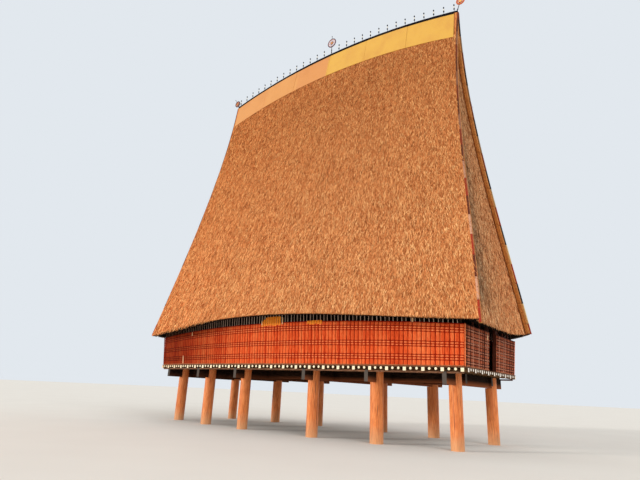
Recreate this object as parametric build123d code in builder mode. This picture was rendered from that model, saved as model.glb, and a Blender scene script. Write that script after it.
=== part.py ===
from build123d import *
import os
from math import cos, pi, radians, sqrt, tan

# Stilt house: a tall-roofed communal house on twelve round posts.
# Millimetres, +Z up. The origin is on the ground under the middle of the house,
# X runs along the ridge and the side with the photographed posts faces -Y.

# Hall plan, outer face of the walls at the floor
hall_half_length = 8500
hall_end_half_width = 2843
hall_side_bow = 834
wall_thickness = 40
wall_lean_angle = 4.1
wall_top_at_end = 4242
wall_top_rise = 303
end_wall_split = 60

# Doorway in the middle of each end wall
door_width = 850
door_post_width = 110

# Posts
post_pairs_x = [-7750, -4840, -2000, 2000, 4840, 7750]
post_radii = [250, 260, 242, 246, 262, 240]
post_row_end_y = 1936
post_row_bow = 984
post_shoulder = 2200
post_tongue_flat = 110

# Floor frame
floor_frame_top = 2620
cross_beam_width = 160
floor_beam_y = 1450
floor_beam_width = 180
floor_beam_depth = 350
floor_beam_overrun = 50
beam_lap_level = 2410
cross_beam_setback = 5
edge_beam_depth = 60
edge_beam_width = 80
edge_beam_setback = 10

# Joists and the small poles between them
joist_count = 26
joist_width = 120
joist_depth = 130
joist_end_margin = 84
joist_overhang = 60
small_pole_apothem = 45
poles_per_bay = 2
pole_sides = 6
end_joist_count = 9
end_joist_pitch = 680

# Floor deck
deck_thickness = 40
deck_overhang = 30

# Wall studs, standing inside the wall and rising to the thatch
stud_apothem = 35
stud_clearance = 1

# Roof surfaces, outer face of the thatch
eave_half_length = 9213
eave_end_half_width = 3334
eave_middle_half_width = 4650
eave_corner_level = 4325
eave_rise = 436
eave_shoulder_drop = 87
ridge_half_length = 7869
ridge_end_level = 20245
ridge_rise = 917
ridge_half_width = 50
slope_hollow = 345
verge_width_hollow = 207
verge_length_hollow = 329
verge_length_flare = 196
thatch_thickness = 280
roof_spans_per_side = 6
slope_steps = 5
slope_margin = 300

# Steep thatched ends between the two slopes
hip_inset = 180
hip_thickness = 250

# Boards along the sloping ends of the roof
verge_board_thickness = 60
verge_board_proud = 60

# Smooth band along the ridge
ridge_panel_drop = 1680
ridge_panel_thickness = 40
ridge_panel_end_gap = 150

# Ridge ornaments
ridge_pole_apothem = 50
finials_per_half = 14
finial_first = 550
finial_pitch = 550
finial_height = 500
finial_radius = 13
finial_taper = 0.8
finial_sides = 4
finial_bead_radius = 24
finial_bead_level = 230
finial_bead_height = 60
disc_thickness = 40
disc_sides = 16
disc_ring_width = 75
disc_hub_radius = 90
disc_ray_width = 36
disc_ray_count = 8
disc_pole_radius = 22
disc_pole_above = 190
middle_disc_radius = 300
middle_disc_rise = 830
end_disc_radius = 225
end_disc_lean = 200
left_disc_rise = 330
right_disc_rise = 560

# Levels and reaches worked out from the sizes above
joist_top = floor_frame_top + joist_depth
joist_pitch = 2 * (hall_half_length - joist_end_margin) / (joist_count - 1)
joist_x = [(i - (joist_count - 1) / 2) * joist_pitch for i in range(joist_count)]
roof_steps = range(-roof_spans_per_side, roof_spans_per_side + 1)
wall_lean = tan(radians(wall_lean_angle))
deck_top = joist_top + deck_thickness
hall_end_inner_x = hall_half_length - end_wall_split
high_clear = ridge_end_level + ridge_rise + 1000
far_clear = eave_middle_half_width + 1000
slope_low = eave_corner_level - slope_margin
slope_rise = ridge_end_level - slope_low
slope_levels = [slope_low + slope_rise * step / slope_steps for step in range(slope_steps + 1)]
slope_levels = [0, *slope_levels, ridge_end_level + ridge_rise + slope_margin]
slope_end = eave_half_length + slope_margin
slope_x = [slope_end * step / roof_spans_per_side for step in roof_steps]


def arc_rise(x, half_span, rise):
    """Height of a circular arc over its chord, at x from its middle."""
    radius = (half_span**2 + rise**2) / (2 * rise)
    return sqrt(radius**2 - x**2) - (radius - rise)


def wall_line(x, grow):
    """Distance from the ridge line, at the floor, of a curve that runs grow outside a side wall's face."""
    radius = (hall_half_length**2 + hall_side_bow**2) / (2 * hall_side_bow)
    centre = radius - hall_side_bow - hall_end_half_width
    return sqrt((radius + grow) ** 2 - x**2) - centre


def post_line(x):
    """Distance of a post's axis from the ridge line."""
    return post_row_end_y + arc_rise(x, post_pairs_x[-1], post_row_bow)


def ridge_level(x):
    """Level of the thatch along the ridge."""
    return ridge_end_level + arc_rise(x, ridge_half_length, ridge_rise)


def eave_level(x):
    """Level of the eave, which dips a little more towards its corners than an arc."""
    share = (x / eave_half_length) ** 2
    shoulder = 4 * share * (1 - share) * eave_shoulder_drop
    return eave_corner_level + arc_rise(x, eave_half_length, eave_rise) - shoulder


def verge_share(level):
    """Share of the height between the roof's eave corners and ridge ends."""
    return (level - eave_corner_level) / (ridge_end_level - eave_corner_level)


def verge_length(level):
    """Half length of the roof at a level."""
    share = verge_share(level)
    straight = eave_half_length * (1 - share) + ridge_half_length * share
    hollow = 4 * verge_length_hollow * share * (1 - share)
    flare = 8 * verge_length_flare * share * (1 - share) * (0.5 - share)
    return straight - hollow + flare


def verge_reach(level):
    """Distance of the thatch's outer face from the ridge line at a level, at the verge."""
    share = verge_share(level)
    straight = eave_end_half_width * (1 - share) + ridge_half_width * share
    return straight - 4 * verge_width_hollow * share * (1 - share)


def middle_reach(level):
    """Distance of the thatch's outer face from the ridge line at a level, in the middle."""
    foot = eave_corner_level + eave_rise
    share = (level - foot) / (ridge_end_level + ridge_rise - foot)
    straight = eave_middle_half_width * (1 - share) + ridge_half_width * share
    return straight - 4 * slope_hollow * share * (1 - share)


def slope_point(x, level):
    """Point on the outer face of the front slope: bowed in plan, hollow in section, plumb below the eave."""
    face_level = max(level, slope_low)
    middle = middle_reach(face_level)
    bow = middle - verge_reach(face_level)
    return (x, bow * (x / verge_length(face_level)) ** 2 - middle, level)


def slope_cell(x, next_x, level, next_level):
    """Flat-faced cell behind the front slope between two stations and two levels."""
    skin = [slope_point(at_x, at_level) for at_x in (x, next_x) for at_level in (level, next_level)]
    back = [(at_x, far_clear, at_level) for at_x, _, at_level in skin]
    return ConvexPolyhedron(skin + back, mode=Mode.PRIVATE)


def verge_line(side, inset):
    """Points up one sloping end of the roof in elevation, drawn in by inset."""
    rise = ridge_end_level - eave_corner_level
    levels = [eave_corner_level + rise * step / 4 for step in range(5)]
    return [(side * (verge_length(level) - inset), level) for level in levels]


def roof_elevation(inset, open_ended):
    """Elevation of the roof, its sloping ends drawn in by inset, or of all between those ends."""
    inner = [step / roof_spans_per_side for step in roof_steps[1:-1]]
    ridge = [(share * ridge_half_length, ridge_level(share * ridge_half_length)) for share in inner]
    eave = [(share * eave_half_length, eave_level(share * eave_half_length)) for share in inner]
    ridge_end = ridge_half_length - inset
    eave_end = eave_half_length - inset
    ridge = [(-ridge_end, ridge_end_level), *ridge, (ridge_end, ridge_end_level)]
    eave = [(-eave_end, eave_corner_level), *eave, (eave_end, eave_corner_level)]
    if open_ended:
        ridge = [ridge[0], (-ridge_end, high_clear), (ridge_end, high_clear), ridge[-1]]
        eave = [eave[0], (-eave_end, 0), (eave_end, 0), eave[-1]]
    with BuildSketch(Plane.XZ) as elevation:
        with BuildLine():
            Spline(*verge_line(-1, inset))
            Polyline(*ridge)
            Spline(*verge_line(1, inset))
            Polyline(*eave)
        make_face()
    return elevation.sketch


def hall_outline(grow, level):
    """Plan of the hall, grown all round by grow: straight from joist to joist along its bowed sides."""
    side_x = [-hall_half_length, *joist_x, hall_half_length]
    front = [(x, -wall_line(x, 0)) for x in side_x]
    back = [(x, wall_line(x, 0)) for x in reversed(side_x)]
    with BuildSketch(Plane.XY.offset(level)) as outline:
        with BuildLine():
            Polyline(*front, *back, close=True)
        make_face()
        if grow:
            offset(amount=grow, kind=Kind.INTERSECTION)
    return outline.sketch


def save(part, label):
    """Name a finished piece and write it."""
    part.label = label
    export_step(part, "parts/" + label + ".step")


os.makedirs("parts", exist_ok=True)


# Posts: the top is cut back on one side to a shoulder, which leaves a tongue
def stilt(x, y, radius):
    """One round post with its shoulder and tongue."""
    with BuildPart() as post:
        with BuildSketch():
            with Locations((x, y)):
                Circle(radius)
        extrude(amount=floor_frame_top)
        with BuildSketch(Plane.XY.offset(post_shoulder)):
            with Locations((x + post_tongue_flat - radius, y)):
                Rectangle(2 * radius, 3 * radius)
        extrude(amount=floor_frame_top, mode=Mode.SUBTRACT)
    return post.part


for number, (post_x, radius) in enumerate(zip(post_pairs_x, post_radii), start=1):
    save(stilt(post_x, -post_line(post_x), radius), "post_front_" + str(number))
    save(stilt(post_x, post_line(post_x), radius), "post_back_" + str(number))

# Edge beams: thin bowed plates let into the ends of the cross beams
edge_beam_end_x = hall_half_length - edge_beam_setback - edge_beam_width

with BuildPart() as edge_beams:
    extrude(hall_outline(-edge_beam_setback, floor_frame_top), amount=-edge_beam_depth)
    extrude(
        hall_outline(-edge_beam_setback - edge_beam_width, floor_frame_top),
        amount=-edge_beam_depth,
        mode=Mode.SUBTRACT,
    )
    Box(2 * edge_beam_end_x, 2 * far_clear, 2 * high_clear, mode=Mode.INTERSECT)

with BuildPart() as edge_beam_front:
    add(edge_beams.part)
    split(bisect_by=Plane.XZ, keep=Keep.TOP)

with BuildPart() as edge_beam_back:
    mirror(edge_beam_front.part, about=Plane.XZ)

# Cross beams: one to a pair of posts, on the shoulders and against the tongues
cross_beam_x = [x + post_tongue_flat - cross_beam_width / 2 for x in post_pairs_x]

with BuildPart() as cross_beams:
    with BuildSketch(Plane.XY.offset(post_shoulder)):
        for x in cross_beam_x:
            with Locations((x, 0)):
                Rectangle(cross_beam_width, 2 * wall_line(x, -cross_beam_setback))
    extrude(amount=floor_frame_top - post_shoulder)
    add(edge_beams.part, mode=Mode.SUBTRACT)
    with BuildSketch(Plane.XY.offset(beam_lap_level)):
        with Locations((0, -floor_beam_y), (0, floor_beam_y)):
            Rectangle(2 * hall_half_length, floor_beam_width)
    extrude(amount=floor_frame_top - beam_lap_level, mode=Mode.SUBTRACT)

# Floor beams: two long beams, halved down over the cross beams
with BuildPart() as floor_beam_front:
    with BuildSketch(Plane.XY.offset(floor_frame_top)):
        with Locations((0, -floor_beam_y)):
            Rectangle(2 * (hall_half_length - floor_beam_overrun), floor_beam_width)
    extrude(amount=-floor_beam_depth)
    with BuildSketch(Plane.XY.offset(beam_lap_level)):
        with Locations(*[(x, 0) for x in cross_beam_x]):
            Rectangle(cross_beam_width, 2 * far_clear)
    extrude(amount=-floor_beam_depth, mode=Mode.SUBTRACT)

with BuildPart() as floor_beam_back:
    mirror(floor_beam_front.part, about=Plane.XZ)

# Joists: squared ends run out past the walls all along both sides

with BuildPart() as floor_joists:
    with BuildSketch(Plane.XY.offset(floor_frame_top)):
        for x in joist_x:
            with Locations((x, 0)):
                Rectangle(joist_width, 2 * wall_line(x, joist_overhang))
    extrude(amount=joist_depth)

# Small poles: two between each pair of joists
pole_pitch = joist_pitch / (poles_per_bay + 1)
pole_level = joist_top - small_pole_apothem
pole_x = [x + step * pole_pitch for x in joist_x[:-1] for step in range(1, poles_per_bay + 1)]

with BuildPart() as floor_poles:
    for x in pole_x:
        with BuildSketch(Plane.XZ):
            with Locations((x, pole_level)):
                RegularPolygon(small_pole_apothem, pole_sides, major_radius=False)
        extrude(amount=wall_line(x, joist_overhang), both=True)

# End joists: the same pattern of ends, fixed to the outer side of the last joist
end_joist_from = hall_half_length - joist_end_margin + joist_width / 2
end_joist_run = hall_half_length + joist_overhang - end_joist_from
end_joist_y = [(i - (end_joist_count - 1) / 2) * end_joist_pitch for i in range(end_joist_count)]
end_pole_y = [
    y + step * end_joist_pitch / (poles_per_bay + 1)
    for y in end_joist_y[:-1]
    for step in range(1, poles_per_bay + 1)
]

with BuildPart() as end_joists:
    with BuildSketch(Plane.YZ.offset(end_joist_from)):
        with Locations(*[(y, floor_frame_top + joist_depth / 2) for y in end_joist_y]):
            Rectangle(joist_width, joist_depth)
        with Locations(*[(y, pole_level) for y in end_pole_y]):
            RegularPolygon(small_pole_apothem, pole_sides, major_radius=False)
    extrude(amount=end_joist_run)
    mirror(about=Plane.YZ)

# Deck
with BuildPart() as floor_deck:
    extrude(hall_outline(deck_overhang, joist_top), amount=deck_thickness)

# Walls: one leaning shell, cut to an arched top and divided into its six walls
wall_reach = wall_top_at_end + wall_top_rise - deck_top
wall_spread_x = hall_half_length + 2 * wall_reach * wall_lean
wall_top_x = [eave_half_length * step / roof_spans_per_side for step in roof_steps]
wall_top = [
    (x, wall_top_at_end + arc_rise(x, hall_half_length, wall_top_rise)) for x in wall_top_x
]



def leaning_block(outline, side_x, side_y):
    """Plan outline at the deck, drawn up past the wall tops with one side's outward lean."""
    with BuildPart() as block:
        extrude(outline, amount=wall_reach, dir=(side_x * wall_lean, side_y * wall_lean, 1))
    return block.part


def side_outline(grow):
    """Plan of all behind the front wall's face, grown outwards by grow: straight from joist to joist."""
    face_x = [-wall_spread_x, -hall_half_length, *joist_x, hall_half_length, wall_spread_x]
    with BuildSketch(Plane.XY.offset(deck_top)) as outline:
        with BuildLine():
            face = [(x, -wall_line(x, grow)) for x in face_x]
            Polyline(*face, (wall_spread_x, far_clear), (-wall_spread_x, far_clear), close=True)
        make_face()
    return outline.sketch


def end_outline(grow):
    """Plan of all behind the right end wall's face, grown outwards by grow."""
    with BuildSketch(Plane.XY.offset(deck_top)) as outline:
        with Locations((hall_half_length + grow, 0)):
            Rectangle(4 * hall_half_length, 2 * far_clear, align=(Align.MAX, Align.CENTER))
    return outline.sketch


def hall_block(grow):
    """All that lies between the four leaning faces of the walls, grown outwards by grow."""
    with BuildPart() as block:
        add(leaning_block(side_outline(grow), 0, -1))
        add(leaning_block(end_outline(grow), 1, 0), mode=Mode.INTERSECT)
        split(bisect_by=Plane.XZ, keep=Keep.TOP)
        split(bisect_by=Plane.YZ, keep=Keep.TOP)
        mirror(about=Plane.XZ)
        mirror(about=Plane.YZ)
    return block.part


with BuildPart() as wall_ring:
    add(hall_block(0))
    add(hall_block(-wall_thickness), mode=Mode.SUBTRACT)
    with BuildSketch(Plane.XZ):
        with BuildLine():
            Polyline(*wall_top, (eave_half_length, high_clear), (-eave_half_length, high_clear), close=True)
        make_face()
    extrude(amount=far_clear, both=True, mode=Mode.SUBTRACT)

with BuildPart() as front_wall:
    add(wall_ring.part)
    split(bisect_by=Plane.XZ, keep=Keep.TOP)
    Box(2 * hall_end_inner_x, 2 * far_clear, 2 * high_clear, mode=Mode.INTERSECT)

with BuildPart() as back_wall:
    mirror(front_wall.part, about=Plane.XZ)

with BuildPart() as right_wall_front:
    add(wall_ring.part)
    split(bisect_by=Plane.YZ.offset(hall_end_inner_x), keep=Keep.TOP)
    split(bisect_by=Plane.XZ.offset(door_width / 2), keep=Keep.TOP)

with BuildPart() as right_wall_back:
    mirror(right_wall_front.part, about=Plane.XZ)

with BuildPart() as left_wall_front:
    mirror(right_wall_front.part, about=Plane.YZ)

with BuildPart() as left_wall_back:
    mirror(right_wall_back.part, about=Plane.YZ)

# Roof masses that the thatch and its trim are cut from
slope_bays = list(zip(slope_x[:-1], slope_x[1:]))
slope_courses = list(zip(slope_levels[:-1], slope_levels[1:]))
slope_cells = [slope_cell(*bay, *course) for bay in slope_bays for course in slope_courses]

with BuildPart() as slope_block:
    add(slope_cells)

with BuildPart() as attic_front:
    with Locations((0, thatch_thickness, 0)):
        add(slope_block.part)
    split(bisect_by=Plane.XZ, keep=Keep.TOP)

with BuildPart() as attic:
    add(attic_front.part)
    mirror(attic_front.part, about=Plane.XZ)

with BuildPart() as attic_space:
    add(attic.part)
    extrude(
        roof_elevation(hip_inset + hip_thickness, True),
        amount=far_clear,
        both=True,
        mode=Mode.INTERSECT,
    )

# Wall studs: poles inside the walls, one over each joist, which rise to carry the thatch
stud_radius = stud_apothem / cos(pi / pole_sides)
stud_setback = wall_thickness + stud_radius + stud_clearance

with BuildPart() as wall_studs_front:
    with BuildSketch(Plane.XY.offset(deck_top)):
        with Locations(*[(x, -wall_line(x, -stud_setback)) for x in joist_x]):
            RegularPolygon(stud_apothem, pole_sides, major_radius=False)
    extrude(amount=far_clear, dir=(0, -wall_lean, 1))
    add(attic_space.part, mode=Mode.INTERSECT)

with BuildPart() as wall_studs_back:
    mirror(wall_studs_front.part, about=Plane.XZ)

end_stud_x = hall_half_length - wall_thickness - stud_clearance - stud_radius
door_post_x = hall_half_length - wall_thickness - stud_clearance - door_post_width / 2
door_post_y = (door_width + door_post_width) / 2
end_stud_y = [y for y in end_joist_y if abs(y) > door_post_y + door_post_width]
end_stud_y = end_stud_y[1:-1]

with BuildPart() as end_studs:
    with BuildSketch(Plane.XY.offset(deck_top)):
        with Locations(*[(end_stud_x, y) for y in end_stud_y]):
            RegularPolygon(stud_apothem, pole_sides, major_radius=False)
        with Locations((door_post_x, -door_post_y), (door_post_x, door_post_y)):
            Rectangle(door_post_width, door_post_width)
    extrude(amount=far_clear, dir=(wall_lean, 0, 1))
    add(attic_space.part, mode=Mode.INTERSECT)
    mirror(about=Plane.YZ)

# Thatch: two hollow-curved slopes and the two steep ends set in between them
with BuildPart() as thatch_front:
    add(slope_block.part)
    extrude(roof_elevation(0, False), amount=far_clear, mode=Mode.INTERSECT)
    add(attic.part, mode=Mode.SUBTRACT)

with BuildPart() as thatch_back:
    mirror(thatch_front.part, about=Plane.XZ)

with BuildPart() as thatch_right:
    add(attic.part)
    extrude(roof_elevation(hip_inset, False), amount=far_clear, both=True, mode=Mode.INTERSECT)
    add(attic_space.part, mode=Mode.SUBTRACT)
    split(bisect_by=Plane.YZ, keep=Keep.TOP)

with BuildPart() as thatch_left:
    mirror(thatch_right.part, about=Plane.YZ)

# Verge boards: on the ends of the slopes, a little proud of the thatch
with BuildPart() as verge_front_right:
    with Locations((0, -verge_board_proud, 0)):
        add(slope_block.part)
    extrude(roof_elevation(-verge_board_thickness, False), amount=far_clear, mode=Mode.INTERSECT)
    extrude(roof_elevation(0, True), amount=far_clear, mode=Mode.SUBTRACT)
    add(attic.part, mode=Mode.SUBTRACT)
    split(bisect_by=Plane.YZ, keep=Keep.TOP)

with BuildPart() as verge_front_left:
    mirror(verge_front_right.part, about=Plane.YZ)

with BuildPart() as verge_back_right:
    mirror(verge_front_right.part, about=Plane.XZ)

with BuildPart() as verge_back_left:
    mirror(verge_front_left.part, about=Plane.XZ)

# Ridge panels: a smooth band laid over the top of each slope
panel_end_x = ridge_half_length - ridge_panel_end_gap
panel_x = [panel_end_x * step / roof_spans_per_side for step in roof_steps]
panel_low = [(x, ridge_level(x) - ridge_panel_drop) for x in panel_x]
panel_high = [(x, ridge_level(x)) for x in reversed(panel_x)]

with BuildPart() as ridge_panel_front:
    with Locations((0, -ridge_panel_thickness, 0)):
        add(slope_block.part)
    with BuildSketch(Plane.XZ):
        with BuildLine():
            Polyline(*panel_low, *panel_high, close=True)
        make_face()
    extrude(amount=far_clear, mode=Mode.INTERSECT)
    add(slope_block.part, mode=Mode.SUBTRACT)

with BuildPart() as ridge_panel_back:
    mirror(ridge_panel_front.part, about=Plane.XZ)

# Ridge pole: bent along the ridge, its underside on the thatch
ridge_x = [ridge_half_length * step / roof_spans_per_side for step in roof_steps]

with BuildPart() as ridge_pole:
    with BuildLine() as ridge_path:
        Polyline(*[(x, 0, ridge_level(x) + ridge_pole_apothem) for x in ridge_x])
    with BuildSketch(Plane(ridge_path.line @ 0, x_dir=(0, 1, 0), z_dir=ridge_path.line % 0)):
        RegularPolygon(ridge_pole_apothem, pole_sides, major_radius=False)
    sweep(transition=Transition.RIGHT)
    add(thatch_front.part, mode=Mode.SUBTRACT)
    add(thatch_back.part, mode=Mode.SUBTRACT)
    add(ridge_panel_front.part, mode=Mode.SUBTRACT)
    add(ridge_panel_back.part, mode=Mode.SUBTRACT)


def pole_top(x, radius):
    """Highest level of the ridge pole's upper face under a round foot at x."""
    span = ridge_half_length / roof_spans_per_side
    nearer_x = max(abs(x) - radius, 0)
    high_x = span * (nearer_x // span)
    slope = (ridge_level(high_x) - ridge_level(high_x + span)) / span
    line_level = ridge_level(high_x) - slope * (nearer_x - high_x)
    return line_level + ridge_pole_apothem * (1 + sqrt(1 + slope**2))


# Finials: thin spikes with a bead, in a row along the ridge pole
finial_x = [side * (finial_first + i * finial_pitch) for side in (-1, 1) for i in range(finials_per_half)]


with BuildPart() as finial:
    with BuildSketch():
        RegularPolygon(finial_radius, finial_sides)
    extrude(amount=finial_height, taper=finial_taper)
    with BuildSketch(Plane.XY.offset(finial_bead_level)):
        RegularPolygon(finial_bead_radius, finial_sides)
    extrude(amount=finial_bead_height)

with BuildPart() as ridge_finials:
    with Locations(*[(x, 0, pole_top(x, finial_radius)) for x in finial_x]):
        add(finial.part)


# Sun discs: a ring, a hub and rays on a pole, over the middle and both ends of the ridge
def sun_disc(x, lean, radius, rise):
    """One disc with its pole, which stands on the ridge pole at x and leans out to the disc."""
    foot = pole_top(x, disc_pole_radius)
    pole_run = rise + radius + disc_pole_above
    with BuildPart() as disc:
        with BuildSketch(Plane.XZ):
            with Locations((x + lean, foot + rise)):
                RegularPolygon(radius, disc_sides)
                RegularPolygon(radius - disc_ring_width, disc_sides, mode=Mode.SUBTRACT)
                RegularPolygon(disc_hub_radius, disc_sides)
                with PolarLocations((radius - disc_ring_width + disc_hub_radius) / 2, disc_ray_count):
                    Rectangle(radius - disc_hub_radius, disc_ray_width)
        extrude(amount=disc_thickness / 2, both=True)
        with BuildSketch(Plane.XY.offset(foot)):
            with Locations((x, 0)):
                RegularPolygon(disc_pole_radius, pole_sides)
        extrude(amount=pole_run, dir=(lean / rise, 0, 1))
    return disc.part


end_disc_foot_x = ridge_half_length - disc_pole_radius

# Write every piece under its own name
pieces = {
    "cross_beams": cross_beams.part,
    "floor_beam_front": floor_beam_front.part,
    "floor_beam_back": floor_beam_back.part,
    "edge_beam_front": edge_beam_front.part,
    "edge_beam_back": edge_beam_back.part,
    "floor_joists": floor_joists.part,
    "floor_poles": floor_poles.part,
    "end_joists": end_joists.part,
    "floor_deck": floor_deck.part,
    "front_wall": front_wall.part,
    "back_wall": back_wall.part,
    "right_wall_front": right_wall_front.part,
    "right_wall_back": right_wall_back.part,
    "left_wall_front": left_wall_front.part,
    "left_wall_back": left_wall_back.part,
    "wall_studs_front": wall_studs_front.part,
    "wall_studs_back": wall_studs_back.part,
    "end_studs": end_studs.part,
    "thatch_front": thatch_front.part,
    "thatch_back": thatch_back.part,
    "thatch_left": thatch_left.part,
    "thatch_right": thatch_right.part,
    "verge_front_left": verge_front_left.part,
    "verge_front_right": verge_front_right.part,
    "verge_back_left": verge_back_left.part,
    "verge_back_right": verge_back_right.part,
    "ridge_panel_front": ridge_panel_front.part,
    "ridge_panel_back": ridge_panel_back.part,
    "ridge_pole": ridge_pole.part,
    "ridge_finials": ridge_finials.part,
    "sun_disc_middle": sun_disc(0, 0, middle_disc_radius, middle_disc_rise),
    "sun_disc_left": sun_disc(-end_disc_foot_x, -end_disc_lean, end_disc_radius, left_disc_rise),
    "sun_disc_right": sun_disc(end_disc_foot_x, end_disc_lean, end_disc_radius, right_disc_rise),
}

for label, part in pieces.items():
    save(part, label)
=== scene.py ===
import math
import bpy
import numpy as np
from mathutils import Matrix, Vector


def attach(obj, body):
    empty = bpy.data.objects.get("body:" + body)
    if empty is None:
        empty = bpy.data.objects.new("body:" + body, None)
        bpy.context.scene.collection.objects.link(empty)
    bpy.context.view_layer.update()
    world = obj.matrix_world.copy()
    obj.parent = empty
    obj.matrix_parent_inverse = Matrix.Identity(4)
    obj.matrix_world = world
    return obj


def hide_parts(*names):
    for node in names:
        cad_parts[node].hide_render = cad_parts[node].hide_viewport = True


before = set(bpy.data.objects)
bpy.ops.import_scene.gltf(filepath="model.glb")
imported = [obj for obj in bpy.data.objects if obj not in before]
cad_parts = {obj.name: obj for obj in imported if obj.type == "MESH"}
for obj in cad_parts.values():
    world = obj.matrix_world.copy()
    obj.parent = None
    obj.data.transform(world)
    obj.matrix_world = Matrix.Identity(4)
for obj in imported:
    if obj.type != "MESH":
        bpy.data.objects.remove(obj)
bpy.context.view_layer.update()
rng = np.random.default_rng(41)

# Sizes of the hall and its walls, in metres, as in the part's source
HALL_X = 8.5
HALL_Y = 2.843
HALL_BOW = 0.834
WALL = 0.04
LEAN = math.tan(math.radians(4.1))
DECK = 2.79
WALL_TOP = 4.242
WALL_RISE = 0.303
DOOR_HALF = 0.425
SLAT_PITCH = 0.165
END_SLAT_PITCH = 0.14

# Sizes of the roof
EAVE_X = 9.213
EAVE_END_Y = 3.334
EAVE_MID_Y = 4.65
EAVE_Z = 4.325
EAVE_RISE = 0.436
EAVE_DIP = 0.087
RIDGE_X = 7.869
RIDGE_Z = 20.245
RIDGE_RISE = 0.917
RIDGE_Y = 0.05
HOLLOW = 0.345
VERGE_HOLLOW_Y = 0.207
VERGE_HOLLOW_X = 0.329
VERGE_FLARE = 0.196
THATCH = 0.28
HIP_INSET = 0.18
HIP_THICK = 0.25
HIP_TOP = 19.05
SHEETS_X = 7.719
SHEETS_DROP = 1.68

# Sizes of the posts and the long floor beams
POSTS_X = (-7.75, -4.84, -2.0, 2.0, 4.84, 7.75)
POST_RADII = (0.25, 0.26, 0.242, 0.246, 0.262, 0.24)
POST_ROW_Y = 1.936
POST_ROW_BOW = 0.984
SHOULDER = 2.2
TONGUE = 0.11
FRAME_TOP = 2.62
BEAM_X = 7.98
BEAM_Y = 1.45
BEAM_HALF = 0.09
BEAM_DEPTH = 0.35

# Straw: how many tufts lie on each face, how long the faces are downhill, what the scene adds
SLOPE_TUFTS = 120000
EAVE_TUFTS = 9000
END_TUFTS = 34000
END_EAVE_TUFTS = 3600
CORNER_TUFTS = 420
SLOPE_RUN = 16.4
END_RUN = 14.8
CORNER_LIFT = 0.24

# Material numbers of the straw pieces and of the walls
BASE, STRAW_DARK, STRAW_MID, STRAW_LIGHT, UNDER_SHADE = range(5)
SLAT, BACKING, ROD, TIE, FOOT = range(5)

# A piece is built at the front right, then mirrored to its side and its end
SIDES = {"front": (1, 1, 1), "back": (1, -1, 1)}
ENDS = {"right": (1, 1, 1), "left": (-1, 1, 1)}
CORNERS = [(side, end) for end in ENDS for side in SIDES]
AXIS_X, AXIS_Y, AXIS_Z = np.eye(3)


def arc_rise(x, half, rise):
    """Height at x of an arc from -half to half that rises by rise in its middle."""
    radius = (half * half + rise * rise) / (2 * rise)
    return np.sqrt(radius * radius - np.square(x)) - (radius - rise)


def wall_line(x):
    return HALL_Y + arc_rise(x, HALL_X, HALL_BOW)


def wall_top(x):
    return WALL_TOP + arc_rise(x, HALL_X, WALL_RISE)


def end_wall_top(y):
    return WALL_TOP + 0 * y


def ridge_level(x):
    return RIDGE_Z + arc_rise(x, RIDGE_X, RIDGE_RISE)


def eave_level(x):
    share = np.square(x / EAVE_X)
    return EAVE_Z + arc_rise(x, EAVE_X, EAVE_RISE) - 4 * share * (1 - share) * EAVE_DIP


def verge_share(z):
    return (z - EAVE_Z) / (RIDGE_Z - EAVE_Z)


def verge_length(z):
    """How far along the house the verge is from its middle."""
    s = verge_share(z)
    straight = EAVE_X * (1 - s) + RIDGE_X * s
    return straight - 4 * VERGE_HOLLOW_X * s * (1 - s) + 8 * VERGE_FLARE * s * (1 - s) * (0.5 - s)


def verge_reach(z):
    """How far across the house the verge is from its middle."""
    s = verge_share(z)
    return EAVE_END_Y * (1 - s) + RIDGE_Y * s - 4 * VERGE_HOLLOW_Y * s * (1 - s)


def middle_reach(z):
    foot = EAVE_Z + EAVE_RISE
    s = (z - foot) / (RIDGE_Z + RIDGE_RISE - foot)
    return EAVE_MID_Y * (1 - s) + RIDGE_Y * s - 4 * HOLLOW * s * (1 - s)


def slope_reach(x, z):
    middle = middle_reach(z)
    return middle - (middle - verge_reach(z)) * np.square(x / verge_length(z))


def slope_point(u, v):
    """Point of the front slope's face: u along the house from -1 to 1, v from eave to ridge."""
    z = eave_level(u * EAVE_X) * (1 - v) + ridge_level(u * RIDGE_X) * v
    x = u * verge_length(EAVE_Z * (1 - v) + RIDGE_Z * v)
    return np.stack([x, -slope_reach(x, z), z], -1)


def end_point(u, v):
    """Point of the right-hand steep end: u across it from -1 to 1, v from eave to top."""
    z = EAVE_Z + (HIP_TOP - EAVE_Z) * v
    x = verge_length(z) - HIP_INSET
    reach = slope_reach(x, z) - THATCH
    return np.stack([x + 0 * u, u * reach, z], -1)


def unit(vectors):
    return vectors / np.linalg.norm(vectors, axis=-1, keepdims=True)


def slope_frame(u, v, step=0.004):
    """Point of the front slope, with its directions downhill, along the house and outwards."""
    down = unit(slope_point(u, v - step) - slope_point(u, v + step))
    along = unit(slope_point(u + step, v) - slope_point(u - step, v))
    return slope_point(u, v), down, along, unit(np.cross(along, -down))


def end_frame(u, v, step=0.004):
    """The same for the steep end, whose second direction is across the house."""
    down = unit(end_point(u, v - step) - end_point(u, v + step))
    along = np.broadcast_to(AXIS_Y, down.shape)
    return end_point(u, v), down, along, unit(np.cross(along, -down))


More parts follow.
